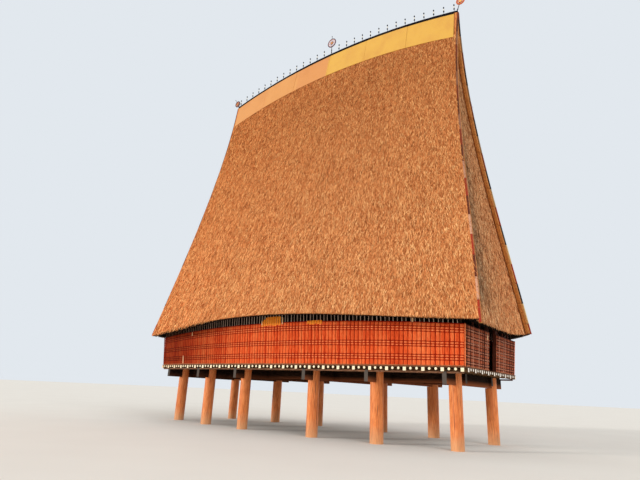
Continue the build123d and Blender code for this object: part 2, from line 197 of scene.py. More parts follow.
# Mesh helpers
class Build:
    """Collects points, faces and material numbers for one mesh."""

    def __init__(self):
        self.points, self.faces, self.kinds = [], [], []
        self.count = 0

    def add(self, points, faces, kind=0):
        """Kind is one material number for all faces, or one to a face."""
        points = np.asarray(points, float).reshape(-1, 3)
        faces = np.asarray(faces, int)
        self.points.append(points)
        self.faces.append(faces + self.count)
        self.kinds.append(np.broadcast_to(kind, len(faces)))
        self.count += len(points)

    def grid(self, points, kind=0, flip=False):
        rows, cols = points.shape[:2]
        i = np.arange(rows * cols).reshape(rows, cols)
        quads = np.stack([i[:-1, :-1], i[:-1, 1:], i[1:, 1:], i[1:, :-1]], -1).reshape(-1, 4)
        self.add(points, quads[:, ::-1] if flip else quads, kind)

    def slab(self, face, back, kind=0):
        """A closed plate between two skins whose rows run upwards."""
        self.grid(face, kind)
        self.grid(back, kind, flip=True)
        for edge in (0, -1):
            self.grid(np.stack([face[edge], back[edge]]), kind, flip=edge == 0)
            self.grid(np.stack([face[:, edge], back[:, edge]]), kind, flip=edge == -1)

    def tube(self, rings, kind=0, caps=True):
        """A closed skin through rings of the same number of points."""
        rings = np.asarray(rings, float)
        count, sides = rings.shape[:2]
        i = np.arange(count * sides).reshape(count, sides)
        j = np.roll(i, -1, axis=1)
        self.add(rings, np.stack([i[:-1], j[:-1], j[1:], i[1:]], -1).reshape(-1, 4), kind)
        if caps:
            here = np.arange(sides)
            after = (here + 1) % sides
            centre = np.full(sides, sides)
            for ring, order in ((rings[0], [after, here, centre]), (rings[-1], [here, after, centre])):
                self.add(np.vstack([ring, ring.mean(0)]), np.stack(order, -1), kind)

    def bend(self, moved):
        self.points = [moved(points) for points in self.points]

    def make(self, name, finishes, smooth=False, mirror=(1, 1, 1)):
        flip = np.prod(mirror) < 0
        faces = []
        for block in self.faces:
            faces.extend((block[:, ::-1] if flip else block).tolist())
        mesh = bpy.data.meshes.new(name)
        mesh.from_pydata((np.concatenate(self.points) * mirror).tolist(), [], faces)
        mesh.polygons.foreach_set("material_index", np.concatenate(self.kinds))
        mesh.polygons.foreach_set("use_smooth", np.full(len(faces), smooth))
        mesh.update()
        for key in finishes:
            mesh.materials.append(finish[key])
        return add_object(name, mesh)

    def piece(self, name, finishes, node=None, side="front", end="right", smooth=False):
        """Mirrored to its side and end, riding on the house, in place of the node named."""
        obj = self.make(name, finishes, smooth, np.multiply(SIDES[side], ENDS[end]))
        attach(obj, "root")
        if node:
            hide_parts(node)


def add_object(name, data):
    obj = bpy.data.objects.new(name, data)
    bpy.context.scene.collection.objects.link(obj)
    return obj


def ring_points(centre, axis_a, axis_b, radius, sides):
    angle = np.linspace(0, 2 * np.pi, sides, endpoint=False)
    return centre + radius * (np.cos(angle)[:, None] * axis_a + np.sin(angle)[:, None] * axis_b)


def rectangle(x_low, x_high, y_low, y_high, z):
    return [(x_low, y_low, z), (x_high, y_low, z), (x_high, y_high, z), (x_low, y_high, z)]


def value_noise(a, b, cells_a, cells_b, seed):
    """Smooth random field over a and b, both 0 to 1, from -1 to 1."""
    lattice = np.random.default_rng(seed).uniform(-1, 1, (cells_a + 2, cells_b + 2))
    place = np.stack([np.clip(a, 0, 1) * cells_a, np.clip(b, 0, 1) * cells_b])
    i, j = np.floor(place).astype(int)
    share = place - (i, j)
    s, t = share**2 * (3 - 2 * share)
    low = lattice[i, j] * (1 - s) + lattice[i + 1, j] * s
    high = lattice[i, j + 1] * (1 - s) + lattice[i + 1, j + 1] * s
    return low * (1 - t) + high * t


def matted(u, v, *layers):
    """Uneven height of straw. A layer is its height, cells along, cells up and seed."""
    return sum(height * value_noise((u + 1) / 2, v, *cells) for height, *cells in layers)


# Material helpers
def tone(red, green, blue):
    """Linear colour from screen values of 0 to 255."""
    shares = [value / 255 for value in (red, green, blue)]
    return (*(s / 12.92 if s <= 0.04045 else ((s + 0.055) / 1.055) ** 2.4 for s in shares), 1.0)


def add_node(tree, kind, output, inputs, **settings):
    """A shader node with its inputs linked, or set to a number or colour. Gives one output."""
    node = tree.nodes.new("ShaderNode" + kind)
    for key, value in settings.items():
        setattr(node, key, value)
    for key, value in inputs.items():
        if isinstance(value, (int, float, tuple)):
            node.inputs[key].default_value = value
        else:
            tree.links.new(value, node.inputs[key])
    return node.outputs[output]


class Shade:
    """A node material in the making."""

    def __init__(self, name, roughness, specular):
        self.mat = bpy.data.materials.new(name)
        self.mat.use_nodes = True
        self.tree = self.mat.node_tree
        self.bsdf = self.tree.nodes["Principled BSDF"]
        self.bsdf.inputs["Roughness"].default_value = roughness
        self.bsdf.inputs["Specular IOR Level"].default_value = specular
        self.coords = self.node("TexCoord", "Object", {})

    def node(self, kind, output, inputs, **settings):
        return add_node(self.tree, kind, output, inputs, **settings)

    def noise(self, scale, size=1.0, detail=2.0, rough=0.5):
        """Soft noise, finer along an axis the larger its number in scale is."""
        place = self.node("Mapping", "Vector", {"Scale": scale, "Vector": self.coords})
        inputs = {"Vector": place, "Scale": size, "Detail": detail, "Roughness": rough}
        return self.node("TexNoise", "Fac", inputs)

    def axis(self, name, vector=None):
        return self.node("SeparateXYZ", name, {0: vector or self.coords})

    def math(self, kind, *values):
        return self.node("Math", 0, dict(enumerate(values)), operation=kind)

    def times(self, a, b):
        return self.math("MULTIPLY", a, b)

    def steps(self, value, low, high):
        """0 at low and 1 at high, which may be the smaller of the two, and level beyond them."""
        inputs = {"Value": value, "From Min": low, "From Max": high}
        return self.node("MapRange", "Result", inputs, clamp=True)

    def span(self, axis, low, high):
        return self.steps(self.axis(axis), low, high)

    def stretches(self, place, length):
        """A random value, the same over each stretch of this length."""
        number = self.math("FLOOR", self.math("DIVIDE", self.math("ADD", place, 100.0), length))
        return self.node("TexWhiteNoise", "Value", {"W": number}, noise_dimensions="1D")

    def ramp(self, value, tones, stops=(0.32, 0.5, 0.68)):
        """Dark, middle and light tone over the stops."""
        colour = self.node("ValToRGB", "Color", {"Fac": value})
        elements = colour.node.color_ramp.elements
        elements.new(0.5)
        for element, place, screen in zip(elements, stops, tones):
            element.position = place
            element.color = tone(*screen)
        return colour

    def mix(self, share, a, b, kind="MIX"):
        return self.node("Mix", 2, {0: share, 6: a, 7: b}, data_type="RGBA", blend_type=kind)

    def tinted(self, base, tint, share=None):
        """The colour multiplied by a tint, or only as far towards that as share says."""
        full = self.mix(1.0, base, (*tint, 1.0), "MULTIPLY")
        return full if share is None else self.mix(share, base, full)

    def finished(self, colour, height=None, bump=0.0, strength=0.6, rough=None):
        """The material, its bump and its two limits of roughness following height."""
        self.tree.links.new(colour, self.bsdf.inputs["Base Color"])
        if height is not None:
            inputs = {"Strength": strength, "Distance": bump, "Height": height}
            self.tree.links.new(self.node("Bump", "Normal", inputs), self.bsdf.inputs["Normal"])
        if rough is not None:
            inputs = {"Value": height, "To Min": rough[0], "To Max": rough[1]}
            spread = self.node("MapRange", "Result", inputs, clamp=True)
            self.tree.links.new(spread, self.bsdf.inputs["Roughness"])
        return self.mat


# Materials
UPRIGHT_GRAIN = 14, 14, 1.2


def painted_verge_shade(shade, straw):
    """Painted shade in grey beside the front verge of a steep end, where the verge stands proud, and painted
    light a little warmer towards its back verge.
    """
    foot, top, widest, narrowing, least = 4.3, 19.0, 3.05, -3.3, 0.2
    reach = shade.math("MULTIPLY_ADD", shade.span("Z", foot, top), narrowing, widest)
    across = shade.math("DIVIDE", shade.axis("Y"), shade.math("MAXIMUM", reach, least))
    between = shade.times(shade.span("Z", 4.6, 5.4), shade.span("Z", top, 14.0))
    # Painted shade beside the front verge; the last tint is painted light towards the back verge
    front = shade.times(shade.steps(across, -0.25, -0.80), between)
    straw = shade.tinted(straw, (0.52, 0.62, 0.74), front)
    return shade.tinted(straw, (1.15, 1.09, 1.02), shade.steps(across, -0.3, 0.4))


def thatch_material(name, tones, high_tint=(1.0, 1.0, 1.0), low=6.0, verge_shading=False):
    """Straw with fine streaks, and painted light that makes it brighter to the left. The tint takes over in
    12 m from low up.
    """
    shade = Shade(name, 0.85, 0.15)
    streaks = shade.noise((30, 30, 2.2), detail=3, rough=0.65)
    patches = shade.steps(shade.noise((0.5, 0.5, 0.35), detail=3), 0.35, 0.7)
    straw = shade.ramp(streaks, tones)
    straw = shade.tinted(straw, (0.80, 0.78, 0.74), shade.times(patches, 0.22))
    straw = shade.tinted(straw, high_tint, shade.span("Z", low, low + 12.0))
    # Painted light: the straw brighter towards the left end
    right, left = shade.tinted(straw, (1.03, 1.03, 1.0)), shade.tinted(straw, (1.19, 1.17, 1.08))
    straw = shade.mix(shade.span("X", 3.0, -7.0), right, left)
    if verge_shading:
        straw = painted_verge_shade(shade, straw)
    return shade.finished(straw, streaks, 0.02, 0.8)


def painted_left_shade(shade, base):
    """Painted shade: darker and browner towards the left end of the house."""
    return shade.tinted(base, (0.37, 0.24, 0.18), shade.span("X", -1.5, -7.0))


def wood_material(name, tones, grain=UPRIGHT_GRAIN, roughness=0.55, gloss=0.15, left_shade=False):
    """Plain timber or bamboo, with streaks along the grain."""
    shade = Shade(name, roughness, gloss)
    fine = shade.noise(grain, size=3.0, detail=4, rough=0.6)
    broad = shade.steps(shade.noise(grain, size=0.7, detail=2), 0.35, 0.7)
    base = shade.ramp(fine, tones)
    base = shade.mix(broad, shade.mix(0.35, base, tone(*tones[0])), base)
    base = painted_left_shade(shade, base) if left_shade else base
    return shade.finished(base, fine, 0.004, rough=(roughness + 0.12, roughness - 0.08))


def slat_material(name, tones, along):
    """Stained split bamboo: one tone to a slat, streaks up each slat."""
    shade = Shade(name, 0.75, 0.05)
    streaks = shade.noise((26, 26, 1.6), size=2.0, detail=3, rough=0.6)
    slat = shade.times(shade.stretches(shade.axis(along), SLAT_PITCH), 0.22)
    base = shade.ramp(shade.math("ADD", slat, shade.times(streaks, 0.78)), tones, (0.28, 0.48, 0.72))
    grime = shade.steps(shade.noise((0.8, 0.8, 1.4), detail=2), 0.42, 0.72)
    base = shade.mix(shade.times(grime, 0.22), base, tone(*tones[0]))
    # Painted shade towards the left end on the long walls' slats
    base = painted_left_shade(shade, base) if along == "X" else base
    return shade.finished(base, streaks, 0.003, rough=(0.85, 0.7))


def post_material():
    """Varnished trunk: long grain, dark cracks, paler and dustier towards its foot."""
    shade = Shade("post", 0.5, 0.35)
    fine = shade.noise((16, 16, 0.9), size=3.0, detail=4, rough=0.6)
    base = shade.ramp(fine, ((178, 88, 38), (236, 134, 68), (252, 170, 104)), (0.30, 0.5, 0.70))
    broad = shade.steps(shade.noise((5, 5, 0.5), size=1.0, detail=3), 0.48, 0.72)
    base = shade.mix(broad, base, shade.mix(0.5, base, tone(196, 96, 42)))
    crack = shade.steps(shade.noise((9, 9, 0.35), size=2.0, detail=2), 0.62, 0.68)
    base = shade.mix(shade.times(crack, 0.6), base, tone(110, 50, 24))
    ragged = shade.times(shade.noise((4, 4, 4), detail=4), 0.5)
    dust = shade.steps(shade.math("ADD", shade.axis("Z"), ragged), 0.95, 0.25)
    base = shade.mix(shade.times(dust, 0.6), base, tone(214, 172, 128))
    return shade.finished(base, fine, 0.006, rough=(0.62, 0.42))


def painted(name, paint, wood=(150, 100, 62), wear=0.60, roughness=0.45, fade=None):
    """Paint that chips to the wood, less the higher wear is, and may fade up the roof."""
    shade = Shade(name, roughness, 0.06 if fade else 0.4)
    chips = shade.noise((9, 9, 9), size=1.6, detail=5, rough=0.7)
    uneven = shade.times(shade.noise((2.2, 2.2, 2.2), detail=3), 0.5)
    coat = shade.mix(uneven, tone(*paint), shade.tinted(tone(*paint), (0.62, 0.6, 0.58)))
    skin = shade.mix(shade.steps(chips, wear, wear + 0.06), coat, tone(*wood))
    if fade:
        skin = shade.mix(shade.times(shade.span("Z", 8.0, 14.0), 0.78), skin, tone(*fade))
    return shade.finished(skin, chips, 0.002, 0.5, (roughness - 0.08, roughness + 0.2))


def beam_material(name, axis, tones, clean, dirty_and_shaded, lit_underside=None):
    """Dark timber with paint on the end faces that look along the axis named, and painted light on the lower
    edge, stronger to the right, where a lit colour is given.
    """
    shade = Shade(name, 0.85, 0.02)
    fine = shade.noise((1.4, 14, 14) if axis == "X" else (14, 1.4, 14), size=3.0, detail=4, rough=0.6)
    timber = shade.ramp(fine, tones, (0.3, 0.5, 0.7))
    facing = shade.axis(axis, shade.node("NewGeometry", "Normal", {}))
    end_grain = shade.steps(shade.math("ABSOLUTE", facing), 0.6, 0.7)
    dirt = shade.steps(shade.noise((14, 14, 14), detail=4, rough=0.7), 0.5, 0.85)
    paint = shade.mix(shade.times(dirt, 0.6), tone(*clean), tone(*dirty_and_shaded))
    # Painted shade: the end paint dimmer towards the far left end
    if axis == "Y":
        shaded_far_left = shade.span("X", -5.0, -8.5)
        paint = shade.mix(shade.times(shaded_far_left, 0.55), paint, tone(*dirty_and_shaded))
    # Painted light: the lower edge lit brown, more so towards the right
    if lit_underside:
        lit_rightward = shade.math("MULTIPLY_ADD", shade.span("X", -4.0, 3.0), 0.7, 0.2)
        low = shade.times(shade.span("Z", 2.42, 2.25), lit_rightward)
        timber = shade.mix(low, timber, tone(*lit_underside))
    return shade.finished(shade.mix(end_grain, timber, paint), fine, 0.003, 0.5)


def panel_material():
    """Plaited sheets along the ridge, each sheet its own tone, the left ones more orange."""
    shade = Shade("ridge_panel", 0.55, 0.3)
    x, z = shade.axis("X"), shade.axis("Z")
    base = shade.mix(shade.steps(x, -0.1, 0.0), tone(210, 141, 78), tone(216, 166, 68))
    sheet = shade.times(shade.stretches(x, 2.57), 0.22)
    base = shade.mix(sheet, base, tone(230, 180, 98))
    stain = shade.steps(shade.noise((1.2, 1.2, 0.7), detail=4, rough=0.6), 0.45, 0.8)
    base = shade.mix(shade.times(stain, 0.4), base, tone(190, 118, 58))
    strands = [shade.math("SINE", shade.times(shade.math(way, x, z), 190.0)) for way in ("ADD", "SUBTRACT")]
    weave = shade.times(*strands)
    base = shade.mix(shade.times(shade.steps(weave, -0.2, 1.0), 0.12), base, tone(180, 110, 50))
    return shade.finished(base, weave, 0.002, 0.5)


# Finishes: each one's tones are dark, middle and light, as screen values
SLOPE_STRAW = {
    "thatch": ((164, 92, 48), (214, 136, 80), (242, 176, 114)),
    "straw_dark": ((142, 78, 38), (184, 108, 58), (206, 130, 76)),
    "straw_mid": ((188, 113, 64), (221, 142, 85), (238, 167, 107)),
    "straw_light": ((217, 146, 90), (242, 179, 118), (252, 205, 148)),
}
END_STRAW = {
    "thatch_end": ((150, 88, 52), (214, 146, 98), (240, 186, 134)),
    "end_dark": ((128, 78, 48), (176, 114, 74), (200, 140, 96)),
    "end_mid": ((176, 112, 70), (218, 150, 100), (236, 178, 126)),
    "end_light": ((220, 158, 108), (244, 192, 140), (252, 216, 168)),
}
# Near-black straw: painted shade for the underside, rims and cut edges of the thatch
UNDER_SHADE_STRAW = (14, 9, 6), (34, 22, 14), (58, 40, 27)
# Grain, roughness, gloss and whether it takes the painted shade at the left end come after the tones, as far
# as they are needed
WOODS = {
    "door_post": ((50, 22, 14), (92, 42, 28), (124, 66, 44)),
    "stud": ((26, 17, 12), (52, 36, 26), (80, 58, 44)),
    "loose": ((222, 160, 104), (250, 206, 156), (255, 228, 190)),
    "end_back": ((26, 8, 4), (46, 16, 10), (64, 28, 18)),
    "tie_end": ((130, 74, 52), (192, 128, 98), (232, 178, 146), (12, 12, 12)),
    "foot_strip": ((120, 62, 36), (176, 100, 60), (206, 134, 88), (1.5, 1.5, 20)),
    "patch": ((250, 116, 16), (255, 148, 30), (255, 176, 70), (30, 30, 2)),
    "verge_wood": ((140, 76, 34), (206, 132, 66), (234, 168, 90), (20, 20, 1.6)),
    "edge": ((78, 46, 30), (122, 82, 56), (152, 110, 80), (1.2, 14, 14), 0.65),
    "deck": ((60, 36, 22), (104, 68, 42), (140, 98, 64), (12, 2, 12), 0.65),
    "pole": ((30, 20, 16), (62, 44, 36), (92, 68, 54), (1, 12, 12), 0.7),
    "ridge_pole": ((12, 11, 15), (24, 22, 28), (42, 38, 44), (1, 12, 12), 0.9, 0.0),
    "end_binding": ((36, 12, 7), (62, 24, 15), (88, 42, 28), (3, 3, 30), 0.55, 0.02),
    "wall_back": ((96, 8, 2), (150, 22, 6), (176, 40, 14), UPRIGHT_GRAIN, 0.55, 0.02, True),
    "bar": ((150, 124, 108), (206, 178, 160), (232, 210, 194), UPRIGHT_GRAIN, 0.55, 0.02, True),
    "binding": ((106, 16, 6), (150, 32, 12), (180, 54, 24), (3, 3, 30), 0.55, 0.02, True),
    "tie": ((206, 84, 40), (240, 130, 78), (252, 168, 116), (12, 12, 12), 0.55, 0.02, True),
}
WORN = (88, 48, 27)
PAINTS = {
    "verge_red": dict(paint=(166, 54, 34), wear=0.56, fade=WORN),
    "verge_pale": dict(paint=(226, 188, 128), wear=0.58, fade=WORN),
    "verge_dark": dict(paint=(40, 42, 50), wood=(104, 62, 40), fade=(48, 26, 18)),
    "verge_pink": dict(paint=(214, 160, 130), wear=0.54, fade=WORN),
    "verge_brown": dict(paint=(98, 46, 32), wood=(150, 88, 52), wear=0.58, fade=WORN),
    "paint_pale": dict(paint=(238, 186, 104)),
    "paint_gold": dict(paint=(200, 94, 26), wear=0.66),
    "paint_ochre": dict(paint=(200, 128, 56)),
    "paint_white": dict(paint=(244, 238, 222), wear=0.68),
    "paint_purple": dict(paint=(60, 28, 60), wear=0.70),
    "paint_pink": dict(paint=(220, 168, 160), wear=0.70),
    "bead_dark": dict(paint=(14, 20, 36), wood=(60, 44, 36), wear=0.70, roughness=0.8),
}
JOIST_TIMBER = (64, 42, 26), (100, 72, 46), (132, 100, 68)
# Near-black beam timber: dark wood with the shade under the floor painted into it
SHADED_BEAM_TIMBER = (14, 9, 7), (36, 24, 18), (60, 42, 32)

finish = {
    "thatch_under_shade": thatch_material("thatch_under_shade", UNDER_SHADE_STRAW),
    "slat_x": slat_material("slat_x", ((178, 48, 18), (228, 88, 40), (246, 134, 76)), "X"),
    "slat_y": slat_material("slat_y", ((96, 36, 20), (160, 80, 52), (206, 124, 92)), "Y"),
    "post": post_material(),
    "joist": beam_material("joist", "Y", JOIST_TIMBER, (255, 240, 208), (214, 172, 126)),
    "end_joist": beam_material("end_joist", "X", JOIST_TIMBER, (250, 242, 230), (214, 172, 126)),
    "ridge_panel": panel_material(),
}
for name, tones in SLOPE_STRAW.items():
    finish[name] = thatch_material(name, tones, (0.80, 0.72, 0.62))
for name, tones in END_STRAW.items():
    finish[name] = thatch_material(name, tones, (0.66, 0.68, 0.70), low=4.0, verge_shading=True)
for name, (dark, middle, light, *look) in WOODS.items():
    finish[name] = wood_material(name, (dark, middle, light), *look)
for name, look in PAINTS.items():
    finish[name] = painted(name, **look)
for name, axis in (("long_beam", "X"), ("cross", "Y")):
    finish[name] = beam_material(name, axis, SHADED_BEAM_TIMBER, (90, 82, 76), (62, 55, 50), (146, 84, 52))


# Thatch
def blades(build, u, v, surface, length, width, lift, room=None, shaded=None):
    """Tufts lying downhill on a surface: wide upper end let in, pointed lower end lifted.

    Room is how far each may run. Shaded ones take the near-black straw that paints the shade under the eave,
    the others dark, middle or light.
    """
    count = len(u)
    point, down, along, normal = surface(u, v)
    run = unit(down + along * rng.normal(0, 0.32, count)[:, None])
    roll = rng.normal(0, 0.5, count)[:, None]
    side = np.cross(run, normal) * np.cos(roll) + normal * np.sin(roll)
    length = length * rng.uniform(0.5, 1.5, count)
    if room is not None:
        length = np.minimum(length, room)
    half = (width * rng.uniform(0.6, 1.4, count))[:, None] / 2
    lift = (lift * rng.uniform(0.3, 1.3, count))[:, None]
    top = point + normal * (0.004 + lift * 0.3)
    tip = point + run * length[:, None] + normal * (0.006 + lift)
    kind = rng.choice([STRAW_DARK, STRAW_MID, STRAW_LIGHT], count, p=[0.26, 0.46, 0.28])
    if shaded is not None:
        kind = np.where(shaded, UNDER_SHADE, kind)
    corners = np.stack([top - side * half, top + side * half, tip], 1)
    build.add(corners, np.arange(count * 3).reshape(-1, 3), kind)


def cut_edge(build, surface, inward, place, depth, length, width):
    """Short tufts over the cut edge at the foot of a roof face, inward by its thickness; the deeper ones are
    near-black as painted shade.
    """

    def edge(u, v):
        point, *directions = surface(u, v)
        return point + np.outer(depth * 0.97, inward), *directions

    blades(build, place, np.full(len(place), 0.004), edge, length, width, 0.0, shaded=depth > 0.12)


def corner_rise(near, z):
    """How far the back right corner of the eave is drawn up: near is 1 at the corner."""
    return CORNER_LIFT * near * np.clip((6.2 - z) / 1.9, 0, 1)


def lifted_slope(points):
    """The slope's right-hand corner drawn up, before it is mirrored to the back."""
    x, y, z = points.T
    rise = corner_rise(np.clip((x - 7.4) / 1.8, 0, 1) ** 2, z)
    return np.stack([x - 0.12 * rise, y + 0.28 * rise, z + rise], -1)


def lifted_end(points):
    """The steep end's back corner, to follow the slope beside it."""
    x, y, z = points.T
    rise = corner_rise(np.clip((y - 0.3) / 2.7, 0, 1) ** 1.5, z)
    return np.stack([x - 0.12 * rise, y - 0.28 * rise, z + rise], -1)


def inner_face(outer):
    """The slope's face moved in by its thickness, as far as the ridge allows."""
    inner = outer.copy()
    inner[..., 1] = np.minimum(inner[..., 1] + THATCH, -0.002)
    return inner


def slope_shell(build):
    u, v = np.meshgrid(np.linspace(-1, 1, 110), np.linspace(0, 1, 110))
    point, _, _, normal = slope_frame(u, v)
    rough = matted(u, v, (0.016, 90, 60, 3), (0.016, 34, 22, 4), (0.014, 9, 9, 5))
    level_at_verge = np.clip((1 - np.abs(u)) / 0.02, 0, 1)
    build.grid(point + normal * ((rough - 0.024) * level_at_verge)[..., None], BASE)
    # The inner face and the rims in near-black straw, as painted shade
    strips = (-1, -0.97, 3, STRAW_DARK), (-0.97, 0.97, 40, UNDER_SHADE), (0.97, 1, 3, STRAW_DARK)
    for start, stop, cols, kind in strips:
        u, v = np.meshgrid(np.linspace(start, stop, cols), np.linspace(0, 1, 40))
        build.grid(inner_face(slope_point(u, v)), kind, flip=True)
    across, up = np.linspace(-1, 1, 120), np.linspace(0, 1, 80)
    for u, v, flip in ((across, 0 * across, True), (0 * up - 1, up, False), (0 * up + 1, up, True)):
        outer = slope_point(u, v)
        build.grid(np.stack([outer, inner_face(outer)]), UNDER_SHADE, flip=flip)


def slope_thatch(side, moved=None):
    """One of the two tall slopes, with a heavier fringe on the left half of its eave."""
    build = Build()
    slope_shell(build)
    up = rng.uniform(0.003, 0.905, SLOPE_TUFTS)
    along = rng.uniform(-0.996, 0.996, SLOPE_TUFTS)
    blades(build, along, up, slope_frame, 0.24, 0.038, 0.02, room=up * SLOPE_RUN + 0.03)
    depth = rng.uniform(0, 1, EAVE_TUFTS)
    place = rng.uniform(-0.998, 0.998, EAVE_TUFTS)
    heavy = np.clip(1 - np.abs(place + 0.62) / 0.42, 0, 1)
    cut_edge(build, slope_frame, (0, THATCH, 0), place, depth, 0.08 + 0.11 * heavy, 0.035)
    if moved:
        build.bend(moved)
    finishes = *SLOPE_STRAW, "thatch_under_shade"
    build.piece(f"thatch_{side}_straw", finishes, f"thatch_{side}", side)


def end_shell(build):
    u, v = np.meshgrid(np.linspace(-1, 1, 46), np.linspace(0, 1, 110))
    point, _, _, normal = end_frame(u, v)
    rough = matted(u, v, (0.018, 40, 50, 13), (0.02, 9, 16, 14))
    build.grid(point + normal * (rough - 0.02)[..., None], BASE)
    u, v = np.meshgrid(np.linspace(-1, 1, 12), np.linspace(0, 1, 30))
    # The inner face and the rim in near-black straw, as painted shade
    build.grid(end_point(u, v) - HIP_THICK * AXIS_X, UNDER_SHADE, flip=True)
    rim = end_point(np.linspace(-1, 1, 60), np.zeros(60))
    build.grid(np.stack([rim, rim - HIP_THICK * AXIS_X]), UNDER_SHADE, flip=True)


def end_thatch(end, moved=None):
    """One of the two steep ends. The moved one has a loose tuft at its front corner."""
    build = Build()
    end_shell(build)
    up = 1 - np.sqrt(1 - rng.uniform(0.004, 0.985, END_TUFTS))
    across = rng.uniform(-0.985, 0.985, END_TUFTS)
    blades(build, across, up, end_frame, 0.26, 0.040, 0.022, room=up * END_RUN + 0.05)
    depth = rng.uniform(0, 1, END_EAVE_TUFTS)
    place = rng.uniform(-0.98, 0.98, END_EAVE_TUFTS)
    cut_edge(build, end_frame, (-HIP_THICK, 0, 0), place, depth, 0.10, 0.04)
    if moved:
        up = rng.uniform(0.014, 0.05, CORNER_TUFTS)
        across = rng.uniform(-0.99, -0.82, CORNER_TUFTS)
        blades(build, across, up, end_frame, 0.30, 0.05, 0.12, room=up * END_RUN)
        build.bend(moved)
    finishes = *END_STRAW, "thatch_under_shade"
    build.piece(f"thatch_{end}_straw", finishes, f"thatch_{end}", end=end)


slope_thatch("front")
slope_thatch("back", lifted_slope)
end_thatch("right", lifted_end)
end_thatch("left")

# Verge boards: the paints in turn from the eave, how wide the boards are, how high they start
VERGE_PAINTS = {
    "front": ("verge_red", "verge_pink", "verge_brown"),
    "back": ("verge_red", "verge_pale", "verge_dark"),
}
VERGE_WIDE = {"front": 0.075, "back": 0.11}
VERGE_FOOT = {("front", "right"): -0.12, ("back", "right"): 0.24}
BARE_WOOD = 3


def verge_board(build, low, high, near, far, out, gap, kind):
    """A length of board from near to far inside the verge's edge, its outer corners eased."""
    ease = 0.012
    rings = []
    for z in np.linspace(low + gap, high - gap, 4):
        x, reach = verge_length(z), verge_reach(z)
        edge, inner = min(near - reach, -0.012), min(far - reach, -0.004)
        back, face = x + 0.002, x + out
        outline = (back, edge), (face - ease, edge), (face, edge + ease)
        outline += (face, inner - ease), (face - ease, inner), (back, inner)
        rings.append([(*corner, z) for corner in outline])
    build.tube(rings, kind)


def verge_lining(build, low, high):
    rings = []
    for z in np.linspace(low + 0.01, high - 0.01, 4):
        x, inner = verge_length(z), min(THATCH - verge_reach(z), -0.03)
        rings.append(rectangle(x - 0.10, x + 0.02, inner - 0.004, inner + 0.022, z))
    build.tube(rings, BARE_WOOD)


def verge_boards(side, end):
    """Painted lengths along one verge, with two bare strips inside them and a lining."""
    build = Build()
    wide, foot = VERGE_WIDE[side], VERGE_FOOT.get((side, end), 0.02)
    first, length, count = 0.68, 0.87, 18
    joins = [EAVE_Z + first + length * i for i in range(count)]
    levels = [EAVE_Z + foot, *joins, RIDGE_Z]
    for i, (low, high) in enumerate(zip(levels[:-1], levels[1:])):
        proud = rng.uniform(-0.004, 0.004)
        slip, inner_slip = rng.uniform(-0.012, 0.012, 2)
        verge_board(build, low, high, -0.004, wide, 0.068 + proud, 0.006, i % 3)
        verge_board(build, low, high, 0.128 + slip, 0.172 + slip, 0.036 + proud, 0.02, BARE_WOOD)
        place = 0.202 + inner_slip
        verge_board(build, low, high, place, place + 0.043, 0.03 + proud, 0.012, BARE_WOOD)
        verge_lining(build, low, high)
    finishes = *VERGE_PAINTS[side], "verge_wood"
    name, node = f"verge_boards_{side}_{end}", f"verge_{side}_{end}"
    build.piece(name, finishes, node, side, end)


for side, end in CORNERS:
    verge_boards(side, end)


# Ridge
def on_slope(x, z, lift):
    return np.stack([x, -(slope_reach(x, z) + lift), z], -1)


def ridge_sheets(side):
    build = Build()
    edges = np.linspace(-SHEETS_X, SHEETS_X, 7)
    for number, (start, stop) in enumerate(zip(edges[:-1], edges[1:])):
        x, fall = np.meshgrid(np.linspace(start + 0.006, stop - 0.006, 13), np.linspace(SHEETS_DROP, 0, 8))
        z = ridge_level(x) - fall
        lift = 0.036 + 0.003 * math.sin(number * 2.1)
        build.slab(on_slope(x, z, lift), on_slope(x, z, 0.004), 0)
    x = np.linspace(-SHEETS_X, SHEETS_X, 60)
    section = (0.10, 0.037), (0.09, 0.046), (0.01, 0.046), (0.0, 0.037)
    batten = [on_slope(x, ridge_level(x) - fall, lift) for fall, lift in section]
    build.tube(np.stack(batten, 1), 1)
    finishes = "ridge_panel", "ridge_pole"
    build.piece(f"ridge_sheets_{side}", finishes, f"ridge_panel_{side}", side)


def ridge_log():
    build = Build()
    rings = []
    for i, x in enumerate(np.linspace(-RIDGE_X, RIDGE_X, 70)):
        slope = (ridge_level(min(x + 0.01, RIDGE_X)) - ridge_level(max(x - 0.01, -RIDGE_X))) / 0.02
        up = np.array([-slope, 0, 1]) / math.hypot(slope, 1)
        centre = np.array([x, 0, ridge_level(x)]) + up * 0.06
        rings.append(ring_points(centre, AXIS_Y, up * 1.25, 0.058 + 0.002 * math.sin(i * 1.7), 14))
    build.tube(rings)
    build.piece("ridge_log", ["ridge_pole"], "ridge_pole", smooth=True)


def lathe(build, foot, profile, sides=10, kind=0, slant=0.0):
    """Turned shape standing on foot: profile is (height, radius) pairs."""
    rings = []
    for height, radius in profile:
        centre = np.add(foot, (height * slant, 0, height))
        rings.append(ring_points(centre, AXIS_X, AXIS_Y, radius, sides))
    build.tube(rings, kind)


def bead(level, radius, half_height, least):
    """Profile of a turned bead, no thinner than least."""
    turns = np.linspace(-1.4, 1.4, 7)
    return [(level + half_height * math.sin(t), max(radius * math.cos(t), least)) for t in turns]


def spike_foot(x):
    """Point on top of the ridge log, which follows an arc of about 34 m."""
    return x, 0, ridge_level(x) + 0.10 * math.sqrt(1 + (x / 34.2) ** 2) - 0.004


